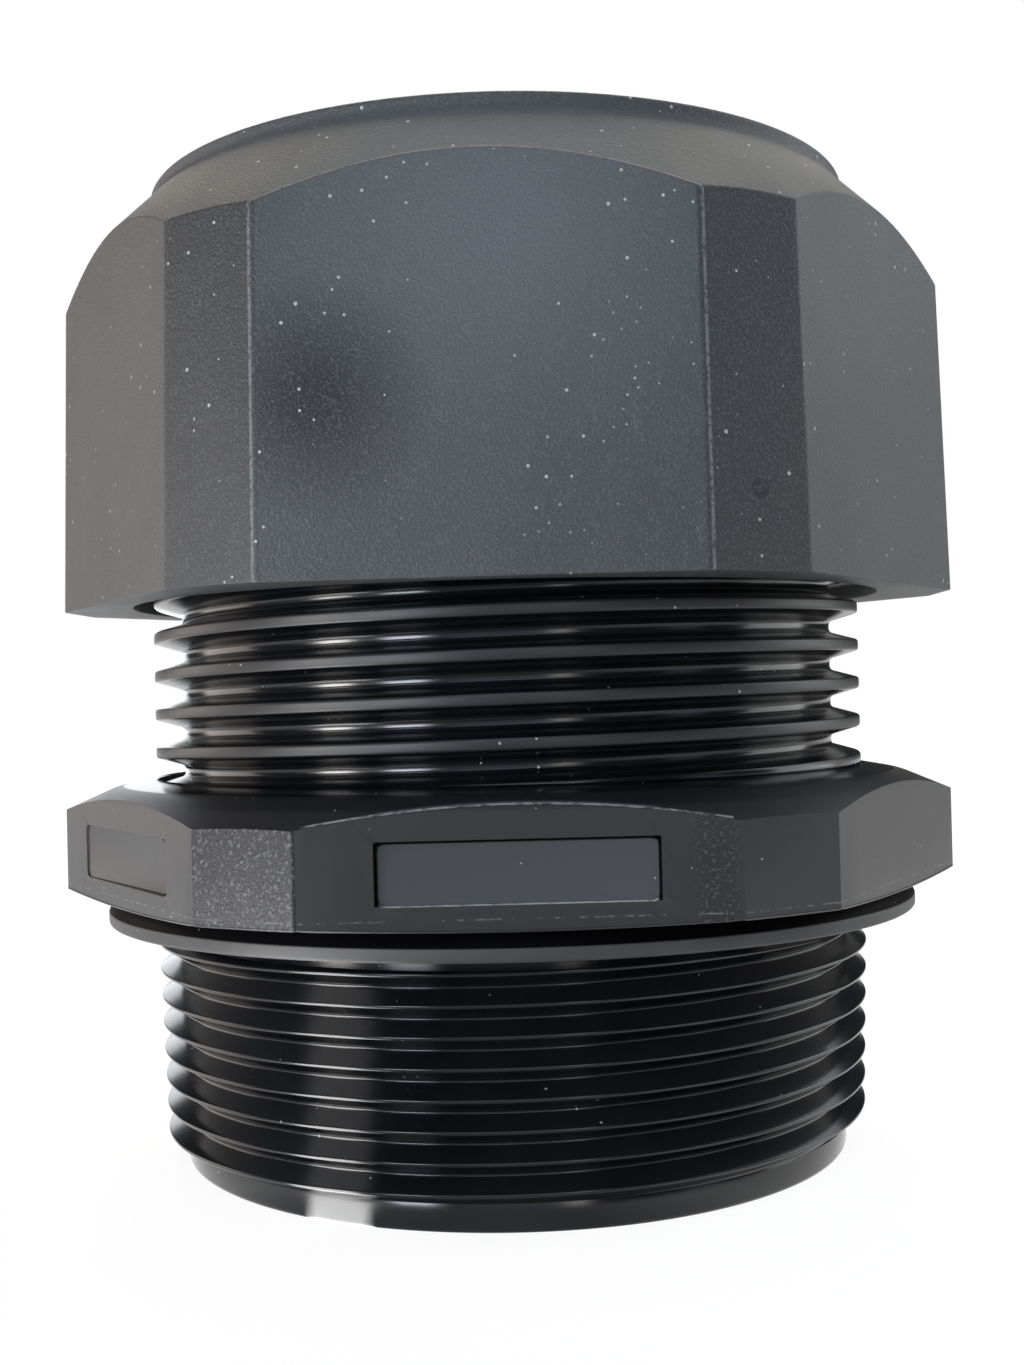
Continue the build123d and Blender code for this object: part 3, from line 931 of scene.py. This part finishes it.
def panel_shadow(tree, x, y, z, on_flange):
    """One along the top and both ends of the front panel, where its edge is dark."""
    at_edge = band(tree, y, -FLANGE_WIDE - 0.1, PANEL_DEPTH - FLANGE_WIDE - 0.02, 0.02)
    across = band(tree, x, -PANEL_END - 0.05, PANEL_END + 0.05, 0.05)
    top = product(tree, band(tree, z, PANEL_TOP - 0.1, PANEL_TOP + 0.12, 0.04), across)
    left_end = band(tree, x, -PANEL_END - 0.17, -PANEL_END + 0.09, 0.03)
    right_end = band(tree, x, PANEL_END - 0.07, PANEL_END + 0.11, 0.03)
    upright = band(tree, z, PANEL_BOTTOM, PANEL_TOP + 0.05, 0.05)
    ends = product(tree, reckon(tree, "ADD", left_end, right_end), upright)
    return product(tree, reckon(tree, "MAXIMUM", top, ends), product(tree, at_edge, on_flange))


def painted_flange_edge_highlights(tree, x, y, z, on_flange, broken):
    """Painted highlight, speckled, along the front arc of the flange and along the lower edge of its panel.
    """
    arc = on_edge_of_flat(tree, x, y, 0, FLANGE_WIDE, 0.3)
    arc = product(tree, arc, on_flange, past(tree, z, 28.1, 28.4), band(tree, x, -14.4, 14.4, 0.1))
    arc = product(tree, arc, ramp(tree, broken, 0.38, 0.55, 0.15, 1.0))
    inside = PANEL_END - 0.05
    at_edge = band(tree, y, -FLANGE_WIDE + 0.02, -FLANGE_WIDE + 0.3, 0.02)
    rim = product(tree, band(tree, z, PANEL_BOTTOM - 0.1, PANEL_BOTTOM + 0.12, 0.03), at_edge)
    rim = product(tree, rim, band(tree, x, -inside, inside, 0.05))
    rim = product(tree, rim, ramp(tree, broken, 0.3, 0.55, 0.3, 1.0))
    return reckon(tree, "MAXIMUM", arc, rim)


def body_nylon():
    """Glossy black nylon, satin on the crests and the flange, with coarse grain on one narrow flat."""
    material, tree, surface = new_material("body_nylon_gloss", "body_nylon")
    x, y, z, reach = axes(tree)
    at_flange = band(tree, z, FLANGE_BOTTOM, SHOULDER_BREAK + 0.1, 0.05)
    on_flange = product(tree, at_flange, past(tree, reach, GRIP_CREST + 0.2, GRIP_CREST + 0.3))
    at_thread = band(tree, z, SHOULDER_TOP, GRIP_THREAD_TOP, 0.05)
    on_crest = product(tree, at_thread, past(tree, reach, GRIP_CREST - 0.1, GRIP_CREST - 0.06))
    on_shoulder = product(tree, on_flange, past(tree, z, 30.1, 30.4))
    satin = reckon(tree, "MAXIMUM", on_flange, on_crest)
    coarse = coarse_patches(tree, x, y, on_flange)
    shadow = panel_shadow(tree, x, y, z, on_flange)
    broken = speckle(tree, 1500.0, 2.0)
    # Painted highlight: a speckled light line along the parting line of the flange
    parting_line_highlight = product(tree, band(tree, z, PARTING_HEIGHT, PARTING_HEIGHT + 0.07, 0.03), on_flange)
    parting_line_highlight = product(tree, parting_line_highlight, ramp(tree, broken, 0.5, 0.62))
    # Painted highlight on the edges of the flange and of its panel
    edge_highlight = painted_flange_edge_highlights(tree, x, y, z, on_flange, broken)
    sparkle = product(tree, coarse, ramp(tree, speckle(tree, 3800.0, 1.0), 0.55, 0.68, 0.0, 0.8))
    tone = mottled(tree, speckle(tree, 120.0, 3.0), (0.004, 0.0045, 0.006), (0.007, 0.008, 0.010))
    for share, colour in (
        (on_flange, (0.022, 0.022, 0.024)),
        (on_shoulder, (0.009, 0.010, 0.012)),
        (on_crest, (0.016, 0.016, 0.018)),
        (coarse, (0.020, 0.020, 0.022)),
        (panel_floor(tree, x, y, on_flange), (0.050, 0.054, 0.062)),
        # painted highlight on the parting line
        (parting_line_highlight, (0.12, 0.12, 0.12)),
        (shadow, (0.001, 0.001, 0.0015)),
        # painted highlight on the flange edges
        (edge_highlight, (0.33, 0.33, 0.33)),
        (sparkle, (0.14, 0.14, 0.145)),
    ):
        tone = blend_colour(tree, share, tone, colour)
    tone = add_dust(tree, tone, 800.0, 0.09, 0.4, (0.35, 0.35, 0.33))
    tree.links.new(tone, surface.inputs["Base Color"])
    tree.links.new(ramp(tree, satin, 0.0, 1.0, 0.17, 0.40), surface.inputs["Roughness"])
    dull = ramp(tree, coarse, 0.0, 1.0, 0.5, 0.27)
    shine = product(tree, dull, ramp(tree, shadow, 0.0, 1.0, 1.0, 0.05))
    tree.links.new(shine, surface.inputs["Specular IOR Level"])
    depth = reckon(tree, "ADD", product(tree, satin, 0.008), product(tree, coarse, 0.05))
    add_grain(tree, surface, 5600.0, reckon(tree, "ADD", depth, 0.0008))
    return material


def rubber(name, slot_name):
    """Dull black rubber with dust, with painted shade on the slope under the flange."""
    material, tree, surface = new_material(name, slot_name)
    z = axes(tree)[2]
    tone = mottled(tree, speckle(tree, 200.0, 3.0), (0.036, 0.036, 0.038), (0.048, 0.048, 0.050))
    # Painted shade: the slope just under the flange is near black and almost without gloss
    slope = band(tree, z, FLANGE_BOTTOM - 1.1, FLANGE_BOTTOM, 0.1)
    tone = blend_colour(tree, slope, tone, (0.0015, 0.0015, 0.002))
    tone = add_dust(tree, tone, 900.0, 0.1, 0.6, (0.3, 0.3, 0.29))
    tree.links.new(tone, surface.inputs["Base Color"])
    tree.links.new(ramp(tree, slope, 0.0, 1.0, 0.5, 0.03), surface.inputs["Specular IOR Level"])
    surface.inputs["Roughness"].default_value = 0.5
    add_grain(tree, surface, 3000.0, 0.01)
    return material


def dress(piece, material):
    """Give a piece its one material."""
    piece.data.materials.clear()
    piece.data.materials.append(material)


def floor_glow(tree, x, y, reach):
    """How bright the floor is in glossy reflections: more at both sides and in one window close by."""
    azimuth = reckon(tree, "ARCTAN2", x, product(tree, y, -1.0))
    right_side = ramp(tree, azimuth, math.radians(10), math.radians(38), 0.0, GLOW_RIGHT)
    left_side = ramp(tree, azimuth, math.radians(-30), math.radians(-55), 0.0, GLOW_LEFT)
    sides = reckon(tree, "ADD", reckon(tree, "ADD", right_side, left_side), GLOW_ROUND)
    window_front = past(tree, along(tree, x, y, 19), 16.3, 17.3)
    window_side = past(tree, along(tree, x, y, -138.7), -12.3, -11.3)
    window = product(tree, window_front, window_side)
    bright = reckon(tree, "ADD", product(tree, window, GLOW_WINDOW), GLOW_CLOSE)
    close = ramp(tree, reach, 0.10, 0.18, 1.0, 0.0)
    return reckon(tree, "ADD", product(tree, bright, close), sides)


def floor():
    """Pale floor that looks white to the camera, with a faint shadow and bright sides in the gloss."""
    clear_selection()
    bpy.ops.mesh.primitive_plane_add(size=4)
    plane = bpy.context.object
    plane.name = "studio_floor"
    material = bpy.data.materials.new("floor_paper")
    material.use_nodes = True
    tree = material.node_tree
    surface = tree.nodes["Principled BSDF"]
    surface.inputs["Base Color"].default_value = (0.8, 0.8, 0.8, 1)
    surface.inputs["Roughness"].default_value = 0.9
    rays = tree.nodes.new("ShaderNodeLightPath")
    x, y, _, reach = axes(tree)
    white = tree.nodes.new("ShaderNodeEmission")
    white.inputs["Strength"].default_value = FLOOR_STRENGTH
    seen = tree.nodes.new("ShaderNodeMixShader")
    share = ramp(tree, reach, 0.1, 0.35, FLOOR_WHITE, 1.0)
    plug(tree, seen.inputs["Fac"], product(tree, rays.outputs["Is Camera Ray"], share))
    tree.links.new(surface.outputs["BSDF"], seen.inputs[1])
    tree.links.new(white.outputs["Emission"], seen.inputs[2])
    glow = tree.nodes.new("ShaderNodeEmission")
    plug(tree, glow.inputs["Strength"], floor_glow(tree, x, y, reach))
    reflected = tree.nodes.new("ShaderNodeMixShader")
    tree.links.new(rays.outputs["Is Glossy Ray"], reflected.inputs["Fac"])
    tree.links.new(seen.outputs["Shader"], reflected.inputs[1])
    tree.links.new(glow.outputs["Emission"], reflected.inputs[2])
    tree.links.new(reflected.outputs["Shader"], tree.nodes["Material Output"].inputs["Surface"])
    plane.data.materials.append(material)


def world():
    """Soft even room light, white behind the object."""
    surroundings = bpy.data.worlds.new("studio")
    bpy.context.scene.world = surroundings
    surroundings.use_nodes = True
    tree = surroundings.node_tree
    room = tree.nodes["Background"]
    room.inputs["Color"].default_value = (0.034, 0.036, 0.037, 1)
    white = tree.nodes.new("ShaderNodeBackground")
    white.inputs["Color"].default_value = (1, 1, 1, 1)
    rays = tree.nodes.new("ShaderNodeLightPath")
    mix = tree.nodes.new("ShaderNodeMixShader")
    tree.links.new(rays.outputs["Is Camera Ray"], mix.inputs["Fac"])
    tree.links.new(room.outputs["Background"], mix.inputs[1])
    tree.links.new(white.outputs["Background"], mix.inputs[2])
    tree.links.new(mix.outputs["Shader"], tree.nodes["World Output"].inputs["Surface"])


def softbox(name, azimuth, elevation, width, height, power):
    """Area lamp aimed at the middle of the object."""
    data = bpy.data.lights.new(name, "AREA")
    data.shape = "RECTANGLE"
    data.size, data.size_y = width, height
    data.energy = max(power)
    data.color = [share / max(power) for share in power]
    lamp = bpy.data.objects.new(name, data)
    bpy.context.scene.collection.objects.link(lamp)
    a, e = math.radians(azimuth), math.radians(elevation)
    back = Vector((math.sin(a) * math.cos(e), -math.cos(a) * math.cos(e), math.sin(e)))
    lamp.location = Vector((0, 0, LAMP_AIM_HEIGHT)) + back * LAMP_DISTANCE
    lamp.rotation_euler = (-back).to_track_quat("-Z", "Y").to_euler()


def camera():
    """Camera close to the object and close to level, with a slight roll."""
    data = bpy.data.cameras.new("camera")
    data.lens, data.sensor_width = CAMERA_LENS, CAMERA_SENSOR
    data.clip_start, data.clip_end = 0.005, 20
    eye = bpy.data.objects.new("camera", data)
    bpy.context.scene.collection.objects.link(eye)
    forward = Vector(CAMERA_FORWARD).normalized()
    right = forward.cross(Vector((0, 0, 1))).normalized()
    up = right.cross(forward)
    cosine, sine = math.cos(CAMERA_ROLL), math.sin(CAMERA_ROLL)
    rolled_right = right * cosine - up * sine
    rolled_up = right * sine + up * cosine
    turn = Matrix((rolled_right, rolled_up, -forward)).transposed()
    eye.matrix_world = Matrix.Translation(Vector(CAMERA_PLACE) * MM) @ turn.to_4x4()
    bpy.context.scene.camera = eye


dress(grip_body(), body_nylon())
dress(washer(), rubber("washer_rubber_dull", "washer_rubber"))
dress(grommet(), rubber("grommet_rubber_dull", "grommet_rubber"))
dress(nut(), nut_nylon())

floor()
world()
for lamp in LAMPS:
    softbox(*lamp)
camera()
bpy.context.scene.view_settings.view_transform = "Standard"
